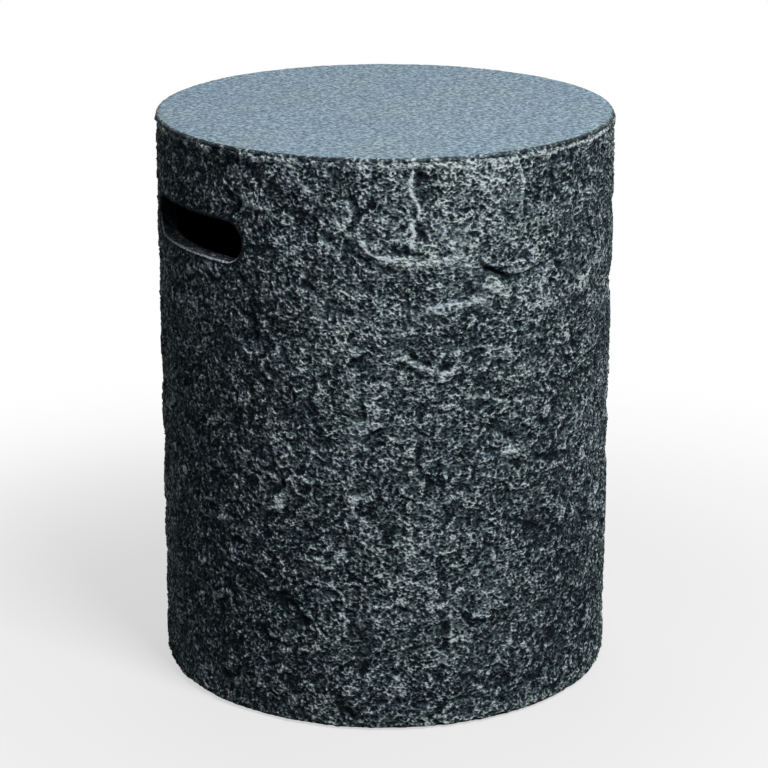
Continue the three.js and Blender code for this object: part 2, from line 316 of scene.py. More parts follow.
# The wall's upper edge, its bead and paler paint, partly a painted highlight, the painted shade just under
# the edge, and the mortar joint's face
arris_waves = ((0.0008, 0.045, 63), (0.0005, 0.014, 64))     # height, size and seed
arris_patches, arris_reach_noise = (0.050, 60, 2), (0.018, 62)
arris_reach, arris_paint_and_highlight_most, edge_shade = 0.0030, 2.9, 0.6
bead_height, bead_reach, bead_drop = 0.0007, 0.0026, 0.0021
joint_rake, joint_ceiling, joint_shade = 0.0003, 0.0010, 0.0006
joint_relief_share, joint_paint = 0.7, 0.5

# Shares of the relief at the openings' lips, in their tunnels and at other edges of the wall
lip_relief_share, tunnel_relief_share, collar_fade_start = 0.25, 0.1, 0.3
seat_relief_share, arris_relief_loss, rim_relief_share = 0.15, 0.5, 0.6
inside_starts, inside_full, lip_blend = 0.7, 0.2, 0.05

# The top's face, with shallow dimples, and the rough band round its edge
dimple_depth, fine_dimple_depth, dimple_floor = 0.00014, 0.00008, 0.00002
dimple_lumps, fine_dimple_noise = (0.009, 80, 2), (0.0045, 82)
band_reach, band_full_share = 0.0040, 0.3
band_relief_share, band_set_back, band_ceiling, band_paint = 0.2, 0.0004, 0.0007, -0.4


def unit_noise(points, size, seed):
    """Smooth noise of about -1 to 1, with cells of that size, at rows of [x, y, z]."""
    draw = np.random.default_rng(seed)
    shuffled = draw.permutation(256)
    slopes = draw.normal(size=(256, 3))
    slopes /= np.linalg.norm(slopes, axis=1)[:, None]
    scaled = points / size + draw.uniform(0, 256, 3)
    cells = np.floor(scaled).astype(np.int64)
    part = scaled - cells
    fade = part ** 3 * (part * (part * 6 - 15) + 10)
    total = np.zeros(len(points))
    for corner in itertools.product((0, 1), repeat=3):
        x, y, z = ((cells + corner) & 255).T
        slope = slopes[shuffled[(shuffled[(shuffled[x] + y) & 255] + z) & 255]]
        share = np.prod(np.where(corner, fade, 1 - fade), axis=1)
        total += share * np.einsum("ij,ij->i", slope, part - corner)
    return total * 1.7


def layered_noise(points, size, seed, layers):
    """Noise with ever finer layers, each half the size and a little over half the depth."""
    total = np.zeros(len(points))
    depth = 1.0
    for layer in range(layers):
        total += depth * unit_noise(points, size / 2 ** layer, seed + layer)
        depth *= 0.55
    return total


def worm_noise(points, size, seed):
    """Noise whose high values form thin winding ridges, from 0 to 1."""
    return np.clip(1 - np.abs(unit_noise(points, size, seed)) * 2.6, 0, 1)


def smooth_step(low, high, value):
    part = np.clip((value - low) / (high - low), 0, 1)
    return part * part * (3 - 2 * part)


def terraces(value, count):
    """Treads with short steep risers made of a smooth height, and their brinks (1), which take paler paint,
    and feet (-1), which take painted shade.
    """
    scaled = value * count
    tread = np.floor(scaled)
    part = scaled - tread
    brink_and_foot_shade = np.exp(-(part / brink_width) ** 2) - np.exp(-((part - riser_foot) / riser_foot_width) ** 2)
    return (tread + smooth_step(riser_start, 1.0, part)) / count, brink_and_foot_shade


# The side's relief
def hewn_swell(points):
    """Height of the broad waves, from -1 on their floors to 1 on their crests."""
    golden_angle = math.pi * (3 - math.sqrt(5))
    angle, total = np.arctan2(points[:, 1], points[:, 0]), 0
    for number in range(hewn_wave_count):
        heading = number * golden_angle
        per_length = 2 * math.pi / (hewn_shortest_wave + number * hewn_wave_step)
        per_turn = round(cad_wall_radius * per_length * math.cos(heading))
        rise = per_length * math.sin(heading) * points[:, 2]
        total = total + np.sin(per_turn * angle + rise + number ** 2)
    return np.clip(hewn_slope_share * total / math.sqrt(hewn_wave_count / 2), -1, 1)


def hewn_share(points):
    """Share of the broad waves at a place: none at the face's edges and at the openings' lips."""
    half_round = math.pi * cad_wall_radius
    across, height = cad_wall_radius * np.arctan2(points[:, 1], points[:, 0]), points[:, 2]
    from_slot = abs((abs(across) + half_round / 2) % half_round - half_round / 2)
    slot_end = (slot_length - slot_height) / 2
    beside_slot = np.hypot(np.maximum(from_slot - slot_end, 0), height - slot_centre)
    beside_notch = np.hypot(across - half_round / 2, np.maximum(height - notch_spring, 0))
    clear = np.min([height - rim_height - rim_rounding, wall_top - wall_top_rounding - height,
                    beside_slot - slot_height / 2 - opening_lip,
                    beside_notch - notch_width / 2 - opening_lip], axis=0)
    return smooth_step(0, hewn_fade, clear)


def leaning_lumps(points, size, seed, layers, lean):
    """Lumps that hang a little, with gentle upper and steep lower sides."""
    first = layered_noise(points, size, seed, 1)
    dropped = points + lean * first[:, None] * np.array([0.0, 0.0, 1.0])
    return layered_noise(dropped, size, seed, layers)


def ribs(points, size, seed):
    """Crests of long jagged ribs, and the hollows along one side of them, where the ribs come through. Each
    hollow also carries a painted shadow.
    """
    away = unit_noise(points, size, seed) * size * 0.55
    there = smooth_step(0.0, 0.5, unit_noise(points, 1.4 * size, seed + 10))
    crest = np.exp(-(away / rib_width) ** 2)
    hollow_and_shadow = np.exp(-((away - rib_hollow_place) / rib_hollow_width) ** 2)
    return there * crest, there * hollow_and_shadow


def bend(points, size, seeds):
    """A smooth push in each direction, which bends a pattern."""
    return np.stack([unit_noise(points, size, seed) for seed in seeds], axis=1)


def fine_grit(points):
    """Thin crests and grains, as fine as the mesh can show."""
    crests, fine_crests = worm_noise(points, *crest_noise), worm_noise(points, *fine_crest_noise)
    return even(0.9 * crests + 0.8 * fine_crests + 0.45 * unit_noise(points, *grit_noise))


def pale_veins(points, bent):
    """Thin lines that come and go."""
    lines = np.clip(1 - 8 * abs(unit_noise(bent, *vein_noise)), 0, 1)
    return lines * smooth_step(0, 0.5, unit_noise(points, *veined_noise))


def side_relief(points):
    """Height over the wall's face, paint with painted light and shade in it, and calm at rows of [x, y, z].
    Calm is where the grain is weak.
    """
    warp, jags = bend(points, warp_size, warp_seeds), bend(points, jag_size, jag_seeds)
    bent = points + warp_reach * warp
    squeezed = bent * grain_squeeze
    broad = hewn_swell(points) * hewn_share(points)
    flakes, flake_brinks_and_shade = terraces(leaning_lumps(squeezed, *flake_lumps), flake_treads)
    chips, chip_brinks_and_shade = terraces(leaning_lumps(squeezed, *chip_lumps), chip_treads)
    worked = smooth_step(-0.3, 0.7, unit_noise(points, *worked_noise))
    lumps = leaning_lumps(squeezed * grain_squeeze, *body_lumps)
    knobs = leaning_lumps(squeezed, *knob_lumps)
    pits = smooth_step(0.35, 0.95, unit_noise(squeezed, *pit_noise))
    fine, veins = fine_grit(squeezed), pale_veins(points, bent)
    ribbed = [ribs(bent + jag_reach * jags, size, seed) for size, seed in rib_sizes.items()]
    crest, hollow_and_shadow = np.sum(ribbed, axis=0)
    mark_height, mark_paint_and_shade = traced_marks(points + mark_warp * warp + mark_jag * jags)
    broken = np.clip(0.95 + 0.35 * unit_noise(points, *broken_noise), 0.6, 1.2)

    height = hewn_depth / 2 * broad + flake_height * flakes + chip_height * chips
    height = height + lump_height * lumps + knob_height * knobs + fine_height * fine
    height = height + rib_height * crest - rib_hollow * hollow_and_shadow - pit_depth * pits + vein_height * veins
    height = height + face_lift + broken * mark_height
    height = relief_ceiling - soft_floor(relief_ceiling - height)

    body = even(0.6 * lumps + 0.8 * knobs + 0.25 * flakes)
    calm = smooth_step(0.0, -1.4, body)
    marked = np.clip(abs(mark_paint_and_shade) / marked_paint, 0, 1)
    paint_and_painted_light = fine_paint * fine * (1 - 0.4 * calm) + body_paint * np.maximum(body, -1.3)
    paint_and_painted_light = paint_and_painted_light - pit_paint * pits + vein_paint * veins
    # Riser feet and rib hollows are darkened as painted shade
    paint_and_painted_light = paint_and_painted_light + worked * (flake_brink_and_shade_paint * flake_brinks_and_shade + chip_brink_and_shade_paint * chip_brinks_and_shade)
    paint_and_painted_light = paint_and_painted_light + rib_crest_paint * crest - rib_hollow_painted_shadow * hollow_and_shadow
    paint_and_painted_light = (1 - 0.5 * marked) * paint_and_painted_light + broken * mark_paint_and_shade + area_paint_and_painted_light(points)
    return height, paint_and_painted_light, np.maximum(calm, 1.6 * marked)


def area_paint_and_painted_light(points):
    """How much more or less paint each large area took, as seen in the photograph, with painted shade and
    painted highlights among the areas.
    """
    around = wall_face * turn_from_camera(points[:, 0], points[:, 1])
    total = np.zeros(len(points))
    for middle, reach, amount in photo_tones.values():
        spot = wall_place(middle)
        away = np.hypot(around - spot[0], points[:, 2] - spot[1])
        total += amount * np.exp(-(away / reach) ** 2)
    return total


def even(values):
    """The same values with a mean of 0 and a spread of 1."""
    return (values - values.mean()) / values.std()


def soft_floor(depth):
    """Keeps a depth over zero, with a smooth bend near it."""
    return 0.5 * (depth + np.sqrt(depth * depth + ceiling_bend * ceiling_bend))


def beside_line(spots, line):
    """Distance from a line, side of it (1 on its left) and share of the way along it, at rows of spots."""
    away = np.full(len(spots), np.inf)
    side, along = np.zeros(len(spots)), np.zeros(len(spots))
    spans = np.linalg.norm(np.diff(line, axis=0), axis=1)
    walked = np.concatenate([[0], np.cumsum(spans)]) / spans.sum()
    for number, span in enumerate(spans):
        ahead = (line[number + 1] - line[number]) / span
        offset = spots - line[number]
        part = np.clip(offset @ ahead, 0, span)
        gap = np.linalg.norm(offset - part[:, None] * ahead, axis=1)
        nearer = gap < away
        away[nearer] = gap[nearer]
        left = ahead[0] * offset[:, 1] - ahead[1] * offset[:, 0]
        side[nearer] = np.where(left[nearer] > 0, 1, -1)
        along[nearer] = (walked[number] + part / spans.sum())[nearer]
    return away, side, along


def traced_marks(points):
    """Extra height and paint of the marks that were traced in the photograph, with painted shade in the
    creases and at the ledges' feet.
    """
    spots = np.stack([wall_face * turn_from_camera(points[:, 0], points[:, 1]), points[:, 2]], axis=1)
    height, paint_and_painted_light = np.zeros(len(points)), np.zeros(len(points))
    kinds = ((photo_swells.values(), swell_shape), (photo_spurs.values(), spur_shape),
             (photo_ridges.values(), ridge_shape), (photo_ledges.values(), ledge_shape),
             (photo_creases.values(), crease_shape), (photo_ticks, tick_shape))
    for lines, shape in kinds:
        for pixels in lines:
            line = np.array([wall_place(pixel) for pixel in pixels])
            low, high = line.min(axis=0) - mark_reach, line.max(axis=0) + mark_reach
            near = np.where(np.all((spots > low) & (spots < high), axis=1))[0]
            away, side, along = beside_line(spots[near], line)
            faded = smooth_step(0, mark_end_share, along) * smooth_step(1, 1 - mark_end_share, along)
            ends = mark_ends + (1 - mark_ends) * faded
            rise, tone = shape(away, side)
            height[near] += ends * rise
            paint_and_painted_light[near] += ends * tone
    return height, paint_and_painted_light


def swell_shape(away, side):
    crown = np.exp(-(away / swell_width) ** 2)
    return swell_height * crown, swell_paint * crown


def spur_shape(away, side):
    crown = np.exp(-(away / spur_width) ** 2)
    return spur_height * crown, spur_paint * crown


def ridge_shape(away, side):
    crown = np.exp(-(away / ridge_width) ** 2)
    return ridge_height * crown, ridge_paint * crown


def ledge_shape(away, side):
    """A step with a raised edge on one side, and a hollow that runs out on the other, darkened with painted
    shade at its foot.
    """
    signed = away * side
    raised = smooth_step(-ledge_blend, ledge_blend, signed)
    run = np.exp(-away / ledge_run) * smooth_step(mark_reach, ledge_run, away)
    foot = np.exp(-(away / ledge_foot) ** 2)
    edge = np.exp(-((signed - ledge_edge) / ledge_edge_width) ** 2)
    height = ledge_height * run * raised - ledge_depth * foot * (1 - raised)
    return height, ledge_paint * edge - ledge_foot_painted_shade * foot * (1 - raised)


# A crease darkens with its own darker paint and with painted shade in the cut
def crease_shape(away, side):
    cut = np.exp(-(away / crease_width) ** 2)
    return -crease_depth * cut, -crease_paint_and_shade * cut


def tick_shape(away, side):
    height, tone = ridge_shape(away, side)
    return tick_share * height, tick_share * tone


# Meshes made of patches: grids of shared points, each with its own part of the UV map
class Patchwork:
    def __init__(self):
        self.points = []
        self.normals = []
        self.shares = []
        self.faces = []
        self.maps = []
        self.count = 0

    def add_points(self, points, normals, shares):
        """Adds points, and gives their numbers back in the same grid."""
        shape = points.shape[:-1]
        self.points.append(points.reshape(-1, 3))
        self.normals.append(np.broadcast_to(normals, points.shape).reshape(-1, 3))
        self.shares.append(np.broadcast_to(shares, shape).reshape(-1))
        numbers = np.arange(self.count, self.count + int(np.prod(shape))).reshape(shape)
        self.count += numbers.size
        return numbers

    def add_patch(self, numbers, places, keep=None):
        """Adds the faces of a grid of points. keep says which of its cells are there."""
        corners = [(0, 0), (0, 1), (1, 1), (1, 0)]
        rows, columns = numbers.shape[0] - 1, numbers.shape[1] - 1
        faces = np.stack([numbers[r:rows + r, c:columns + c] for r, c in corners], axis=-1)
        maps = np.stack([places[r:rows + r, c:columns + c] for r, c in corners], axis=-2)
        if keep is None:
            keep = np.ones((rows, columns), bool)
        self.faces.append(faces[keep])
        self.maps.append(maps[keep])

    def arrays(self):
        return (np.concatenate(self.points), np.concatenate(self.normals),
                np.concatenate(self.shares), np.concatenate(self.faces), np.concatenate(self.maps))


def mesh_object(name, points, faces, maps, attributes):
    """A smooth mesh of four-sided faces, with a UV map and named values at its points."""
    mesh = bpy.data.meshes.new(name)
    mesh.vertices.add(len(points))
    mesh.vertices.foreach_set("co", points.astype(np.float32).ravel())
    mesh.loops.add(faces.size)
    mesh.loops.foreach_set("vertex_index", faces.astype(np.int32).ravel())
    mesh.polygons.add(len(faces))
    mesh.polygons.foreach_set("loop_start", np.arange(0, faces.size, 4, dtype=np.int32))
    mesh.update(calc_edges=True)
    mesh.polygons.foreach_set("use_smooth", np.ones(len(faces), bool))
    layer = mesh.uv_layers.new(name="OFBake")
    layer.data.foreach_set("uv", maps.astype(np.float32).ravel())
    for key, values in attributes.items():
        held = mesh.attributes.new(key, "FLOAT", "POINT")
        held.data.foreach_set("value", values.astype(np.float32))
    mesh.validate()
    made = bpy.data.objects.new(name, mesh)
    bpy.context.scene.collection.objects.link(made)
    return made


def close_round(grid):
    """The grid with its first column once more at its end."""
    return np.concatenate([grid, grid[:, :1]], axis=1)


def on_round(radius, angle, height):
    return np.stack([radius * np.cos(angle), radius * np.sin(angle),
                     np.broadcast_to(height, np.broadcast(radius, angle).shape)], axis=-1)


# The wall's section, as rows of [radius, height, outward share, upward share, relief share]
def inner_radius(height):
    """Radius of the wall's inside at a height."""
    low, high = cad_wall_radius - wall_at_rim, cad_wall_radius - wall_at_top
    return np.interp(height, [rim_height + rim_inner_bevel, seat_foot], [low, high])


def lip_spread(radius):
    """How far an opening is spread by its rounded lip, at a radius in the wall."""
    depth = np.clip(radius - (wall_face - opening_lip), 0, opening_lip)
    return opening_lip - np.sqrt(opening_lip ** 2 - depth ** 2)


def lip_radii():
    """Radii through the wall from its face, close together over the lip."""
    angles = np.linspace(math.pi / 2, 0, rounding_steps + 1)
    return wall_face - opening_lip + opening_lip * np.sin(angles)


def arris_rows(shoulder):
    """The wall's rounded upper edge, upwards from the outer face."""
    rows = []
    for angle in np.linspace(0, math.pi / 2, rounding_steps + 1)[1:]:
        radius = wall_face - wall_top_rounding * (1 - math.cos(angle))
        height = shoulder + wall_top_rounding * math.sin(angle)
        share = 1 - arris_relief_loss * math.sin(angle)
        rows.append((radius, height, math.cos(angle), math.sin(angle), share))
    return rows


def inner_heights(slot_rows, notch_rows):
    """Heights of the inside's rows, downwards: close together beside openings, and far apart elsewhere."""
    between = np.arange(seat_foot - coarse_step, slot_rows[-1] + coarse_step / 2, -coarse_step)
    below = np.arange(slot_rows[0] - coarse_step, notch_rows[-1] + coarse_step / 2, -coarse_step)
    return [*between, *reversed(slot_rows), *below, *reversed(notch_rows)]


def rim_section():
    """The rim's underside from the inside out, and the outer face's rounded foot."""
    inner_rim = cad_wall_radius - wall_at_rim
    flat_inner, flat_outer = inner_rim + rim_inner_bevel, wall_face - rim_rounding
    rows = [(inner_rim, rim_height + rim_inner_bevel, -0.7, -0.7, tunnel_relief_share)]
    rows += [(radius, rim_height, 0, -1, 0) for radius in np.linspace(flat_inner, flat_outer, rim_steps)]
    for radius in lip_radii()[:0:-1]:
        rise = math.sqrt(rim_rounding ** 2 - (radius - flat_outer) ** 2)
        height = rim_height + rim_rounding - rise
        out = (radius - flat_outer) / rim_rounding
        rows.append((radius, height, out, -math.sqrt(1 - out * out), rim_relief_share * out))
    return rows


def wall_section():
    """The closed section from the outer face's foot, up, over and round to the rim, and three lots of
    heights on the outer face: all of them, those beside a slot and those beside the notch."""
    foot, shoulder = rim_height + rim_rounding, wall_top - wall_top_rounding
    outer = np.linspace(foot, shoulder, round((shoulder - foot) / cell) + 1)
    slot_reach = slot_height / 2 + collar_margin + opening_lip
    slot_rows = [z for z in outer if abs(z - slot_centre) < slot_reach]
    notch_reach = notch_spring + notch_width / 2 + collar_margin + opening_lip
    notch_rows = [z for z in outer if z < notch_reach]
    seat, ledge = inner_radius(seat_foot), wall_face - wall_top_rounding
    rows = [(wall_face, z, 1, 0, 1) for z in outer]
    rows += arris_rows(shoulder)
    rows += [(r, wall_top, 0, 1, seat_relief_share) for r in np.linspace(ledge, seat, seat_steps)[1:]]
    rows.append((seat, seat_foot, -1, 0, tunnel_relief_share))
    rows += [(inner_radius(z), z, -1, 0, tunnel_relief_share) for z in inner_heights(slot_rows, notch_rows)]
    rows += rim_section()
    return np.array(rows), outer, np.array(slot_rows), np.array(notch_rows)


# The slots and the notch
def round_edge(foot, across, height, reach):
    """Places at a distance from foot points, on the way to points beside an opening."""
    away = np.stack([across, height], axis=-1) - foot
    away /= np.linalg.norm(away, axis=-1, keepdims=True)
    return foot + away * reach[..., None]


def slot_edge(across, height, spread):
    """The slot's edge nearest to points beside it, when the slot is spread that far."""
    middle = slot_length / 2 - slot_height / 2
    foot = np.stack([np.clip(across, -middle, middle), np.full_like(height, slot_centre)], axis=-1)
    return round_edge(foot, across, height, slot_height / 2 + spread)


def notch_edge(across, height, spread):
    """The notch's edge nearest to points beside it, when the notch is spread that far."""
    foot = np.stack([np.zeros_like(across), np.minimum(height, notch_spring)], axis=-1)
    return round_edge(foot, across, height, notch_width / 2 + spread)


class Opening:
    """A slot or the notch, at an angle round the wall. closed says that an edge runs all round it."""

    def __init__(self, axis, heights, edge_of, half_width, closed):
        self.axis = axis
        self.heights = heights
        self.edge_of = edge_of
        self.reach = half_width + opening_lip + collar_margin
        self.closed = closed

    def begin(self, turn, height, inner_start_radius, strip):
        """Keeps the points of the cut-out round the opening, as [across, height], outside and inside."""
        self.start = np.stack([wall_face * np.sin(turn), height], axis=-1)
        self.inner_start = np.stack([inner_start_radius * np.sin(turn), height], axis=-1)
        self.strip = strip

    def level(self, value):
        """The same value at each point of the cut-out."""
        return np.full(len(self.start), float(value))

    def edge(self, spread):
        """The edge beside each point of the cut-out, when the opening is spread that far."""
        return self.edge_of(self.start[:, 0], self.start[:, 1], self.level(spread))

    def stand(self, spot, radius):
        """Points on a round of that radius, at [across, height] beside the opening's axis."""
        out = np.sqrt(np.asarray(radius) ** 2 - spot[:, 0] ** 2)
        x = out * math.cos(self.axis) - spot[:, 0] * math.sin(self.axis)
        y = out * math.sin(self.axis) + spot[:, 0] * math.cos(self.axis)
        return np.stack([x, y, spot[:, 1]], axis=-1)

    def outward(self, spot, radius):
        angle = self.axis + np.arcsin(spot[:, 0] / radius)
        return np.stack([np.cos(angle), np.sin(angle), np.zeros_like(angle)], axis=-1)

    def inward(self, share):
        """Directions that turn from the face towards the middle of the opening."""
        near = self.edge(0)
        inwards = (self.edge(-edge_probe) - near) / edge_probe
        aside = [-inwards[:, 0] * math.sin(self.axis), inwards[:, 0] * math.cos(self.axis), inwards[:, 1]]
        mixed = np.stack(aside, axis=-1) * share + self.outward(near, wall_face) * (1 - share)
        return mixed / np.linalg.norm(mixed, axis=-1, keepdims=True)


class WallBuilder(Patchwork):
    """The wall as one closed skin, open at both slots and at the notch."""

    def __init__(self):
        super().__init__()
        self.section, self.outer, slot_rows, notch_rows = wall_section()
        self.step = 2 * math.pi / round_steps
        self.first_angle = -math.pi / 4
        self.lengths = self.map_lengths()
        self.angles = self.first_angle + self.step * np.arange(round_steps)
        radius, height, out, up, share = (self.section[:, [i]] for i in range(5))
        points = on_round(radius, self.angles[None, :], height)
        normals = on_round(out, self.angles[None, :], up)
        self.numbers = self.add_points(points, normals, np.broadcast_to(share, points.shape[:2]))
        self.keep = np.ones((len(self.section), round_steps), bool)
        self.add_opening(Opening(0.0, slot_rows, slot_edge, slot_length / 2, True))
        self.add_opening(Opening(math.pi, slot_rows, slot_edge, slot_length / 2, True))
        self.add_opening(Opening(math.pi / 2, notch_rows, notch_edge, notch_width / 2, False))
        self.add_main_patches()

    def map_lengths(self):
        """Length along the section at each row, with the inside's rows drawn in."""
        ends = np.vstack([self.section, self.section[:1]])
        steps = np.hypot(*np.diff(ends[:, :2], axis=0).T)
        inside = ends[:-1, 2] < 0
        steps = np.where(inside, steps * inside_map_share, steps)
        return np.concatenate([[0], np.cumsum(steps)])

    def place(self, strip, angle, length):
        """UV place of an angle and a length along the section, on one of two strips."""
        across = (angle - self.first_angle) / math.pi - strip
        along = (strip + strip_margin + (1 - 2 * strip_margin) * length / self.lengths[-1]) / 2
        return np.stack(np.broadcast_arrays(across, along), axis=-1)

    def add_main_patches(self):
        half = round_steps // 2
        ring = np.vstack([self.numbers, self.numbers[:1]])
        for strip in (0, 1):
            columns = np.arange(strip * half, strip * half + half + 1)
            angles = self.first_angle + self.step * columns
            places = self.place(strip, angles[None, :], self.lengths[:, None])
            self.add_patch(ring[:, columns % round_steps], places, self.keep[:, columns[:-1]])

    def outer_length(self, height):
        return np.interp(height, self.outer, self.lengths[:len(self.outer)])

    def inner_rows(self, heights):
        """Rows of the wall's inside at these heights."""
        inner = np.where(self.section[:, 2] == -1)[0]
        return np.array([inner[np.argmin(abs(self.section[inner, 1] - z))] for z in heights])

    def inner_length(self, height):
        inner = np.where(self.section[:, 2] == -1)[0][::-1]
        return np.interp(height, self.section[inner, 1], self.lengths[inner])

    def chain(self, columns, rows, closed):
        """Row and column numbers round an opening's cut-out, anticlockwise from outside."""
        left, right = columns[0], columns[-1]
        up = [(row, right) for row in rows]
        back = [(rows[-1], column) for column in columns[-2:0:-1]]
        down = [(row, left) for row in rows[::-1]]
        links = up + back + down
        if closed:
            links += [(rows[0], column) for column in columns[1:-1]]
        return np.array(links)

    def add_opening(self, opening):
        """Cuts an opening out of the main grid, and fits its collars and its tunnel in."""
        columns_half = math.ceil(math.asin(opening.reach / wall_face) / self.step)
        middle = round((opening.axis - self.first_angle) / self.step)
        columns = np.arange(middle - columns_half, middle + columns_half + 1)
        outer_rows = np.array([np.argmin(abs(self.outer - z)) for z in opening.heights])
        inner_rows = self.inner_rows(opening.heights)
        outer_chain = self.chain(columns, outer_rows, opening.closed)
        inner_chain = self.chain(columns, inner_rows, opening.closed)
        self.cut_out(columns, outer_rows, inner_rows, opening.closed)
        turn = self.first_angle + self.step * outer_chain[:, 1] - opening.axis
        opening.begin(turn, self.section[outer_chain[:, 0], 1], self.section[inner_chain[:, 0], 0],
                      int(columns[0] * self.step // math.pi))

        rim = None if opening.closed else self.rim_rows(inner_rows[0])
        radii = self.tunnel_radii() if opening.closed else self.section[rim, 0]
        loops = self.collar_loops(opening) + self.tunnel_loops(opening, radii, rim)
        made, places = self.add_loops(loops)
        first = self.numbers[outer_chain[:, 0], outer_chain[:, 1] % round_steps]
        first_place = self.outer_place(opening, opening.start)
        self.add_ring_patch(np.vstack([first, made]), np.vstack([first_place[None], places]), opening.closed)

        inner_made, inner_places = self.add_loops(self.inner_loops(opening))
        last = self.numbers[inner_chain[:, 0], inner_chain[:, 1] % round_steps]
        ends = [self.inner_place(opening, spot)[None] for spot in (opening.edge(0), opening.inner_start)]
        self.add_ring_patch(np.vstack([made[-1:], inner_made, last[None]]),
                            np.vstack([ends[0], inner_places, ends[1]]), opening.closed)
        if not opening.closed:
            self.add_rim_sides(opening, rim, columns, made, inner_made)

    def add_loops(self, loops):
        """Adds loops of (points, normals, relief shares, UV places), and gives numbers and places back."""
        points, normals, shares, places = (np.array(part) for part in zip(*loops))
        return self.add_points(points, normals, shares), places

    def collar_loops(self, opening):
        """Loops on the outer face, from the cut-out to the opening's lip."""
        loops = []
        base = opening.edge(opening_lip)
        for step in range(1, collar_steps):
            part = step / collar_steps
            spot = opening.start + (base - opening.start) * part
            share = 1 - (1 - lip_relief_share) * smooth_step(collar_fade_start, 1, part)
            loops.append((opening.stand(spot, wall_face), opening.outward(spot, wall_face),
                          opening.level(share), self.outer_place(opening, spot)))
        return loops

    def tunnel_loops(self, opening, radii, rim):
        """Loops over the lip and through the wall. The notch's ends stay on the rim."""
        loops = []
        for number, radius in enumerate(radii):
            spread, depth = float(lip_spread(radius)), wall_face - radius
            spot = opening.edge(spread)
            reach_in = opening.level(radius)
            if number == len(radii) - 1:
                reach_in = inner_radius(spot[:, 1])
            if not opening.closed and number > 0:
                spot[[0, -1], 1] = self.section[rim[number], 1]
            share = lip_relief_share if depth < opening_lip else tunnel_relief_share
            drawn_in = opening.edge(spread - (1 - tunnel_map_share) * depth)
            loops.append((opening.stand(spot, reach_in), opening.inward(min(1.0, depth / opening_lip)),
                          opening.level(share), self.outer_place(opening, drawn_in)))
        return loops

    def inner_loops(self, opening):
        """Loops on the wall's inside, from the opening's edge to the cut-out."""
        loops = []
        edge = opening.edge(0)
        for step in range(1, collar_steps):
            spot = edge + (opening.inner_start - edge) * step / collar_steps
            radius = inner_radius(spot[:, 1])
            loops.append((opening.stand(spot, radius), -opening.outward(spot, radius),
                          opening.level(tunnel_relief_share), self.inner_place(opening, spot)))
        return loops

    def cut_out(self, columns, outer_rows, inner_rows, closed):
        """Takes the opening's cells out of the main grid."""
        cells = columns[:-1] % round_steps
        if closed:
            spans = [np.arange(outer_rows[0], outer_rows[-1]), np.arange(inner_rows[-1], inner_rows[0])]
        else:
            spans = [np.arange(0, outer_rows[-1]), np.arange(inner_rows[-1], len(self.section))]
        for span in spans:
            self.keep[np.ix_(span, cells)] = False

    def tunnel_radii(self):
        inside = np.linspace(wall_face - opening_lip, inner_radius(slot_centre), tunnel_steps + 1)
        return np.concatenate([lip_radii(), inside[1:]])

    def rim_rows(self, inner_foot):
        """Rows from the outer face's foot, under the rim, to the inside's foot."""
        return np.concatenate([[0], np.arange(len(self.section) - 1, inner_foot - 1, -1)])

    def outer_place(self, opening, spot):
        angle = opening.axis + np.arcsin(spot[:, 0] / wall_face)
        return self.place(opening.strip, angle, self.outer_length(spot[:, 1]))

    def inner_place(self, opening, spot):
        angle = opening.axis + np.arcsin(spot[:, 0] / inner_radius(spot[:, 1]))
        return self.place(opening.strip, angle, self.inner_length(spot[:, 1]))

    def add_ring_patch(self, numbers, places, closed):
        if closed:
            numbers, places = close_round(numbers), close_round(places)
        self.add_patch(numbers, places)

    def add_rim_sides(self, opening, rim, columns, made, inner_made):
        """The rim's underside between the main grid and the notch, on both sides."""
        tunnel = made[collar_steps - 1:]
        points = np.concatenate(self.points)
        for end, column in ((0, columns[-1]), (-1, columns[0])):
            bound = self.numbers[rim, column % round_steps]
            edge = tunnel[:, end]
            fill = np.array([points[bound] + (points[edge] - points[bound]) * step / collar_steps
                             for step in range(1, collar_steps)])
            filled = self.add_points(fill[:, 1:-1], np.array([0.0, 0.0, -1.0]), 0.0)
            outer_end, inner_end = made[:collar_steps - 1, [end]], inner_made[::-1, [end]]
            grid = np.vstack([bound, np.hstack([outer_end, filled, inner_end]), edge])
            angle = self.first_angle + self.step * column
            turn = math.copysign(math.asin(notch_width / 2 / wall_face), angle - opening.axis)
            angles = np.linspace(angle, opening.axis + turn, collar_steps + 1)
            lengths = np.concatenate([[self.lengths[-1]], self.lengths[rim[1:]]])
            places = self.place(opening.strip, angles[:, None], lengths[None, :])
            grid, places = grid.T[::-1], places.transpose(1, 0, 2)[::-1]
            if end == 0:
                grid, places = grid[:, ::-1], places[:, ::-1]
            self.add_patch(grid, places)


# Where a pixel of the photograph lies on the wall
def camera_axes():
    """The camera's place, and its directions to the right, up and ahead."""
    place = np.array([camera_distance * math.sin(camera_azimuth),
                      -camera_distance * math.cos(camera_azimuth), camera_height])
    heading = camera_azimuth + camera_turn
    ahead = np.array([-math.sin(heading) * math.cos(camera_pitch),
                      math.cos(heading) * math.cos(camera_pitch), -math.sin(camera_pitch)])
    right = np.array([math.cos(heading), math.sin(heading), 0])
    return place, right, np.cross(right, ahead), ahead


def wall_place(pixel):
    """Distance round the wall from its nearest line to the camera, and height, at a pixel."""
    place, right, up, ahead = camera_axes()
    half = image_pixels / 2
    ray = focal_pixels * ahead + (pixel[0] - half) * right - (pixel[1] - half) * up
    a = ray[:2] @ ray[:2]
    b = place[:2] @ ray[:2]
    c = place[:2] @ place[:2] - wall_face ** 2
    spot = place + ray * (-b - math.sqrt(max(b * b - a * c, 0))) / a
    return wall_face * turn_from_camera(spot[0], spot[1]), spot[2]


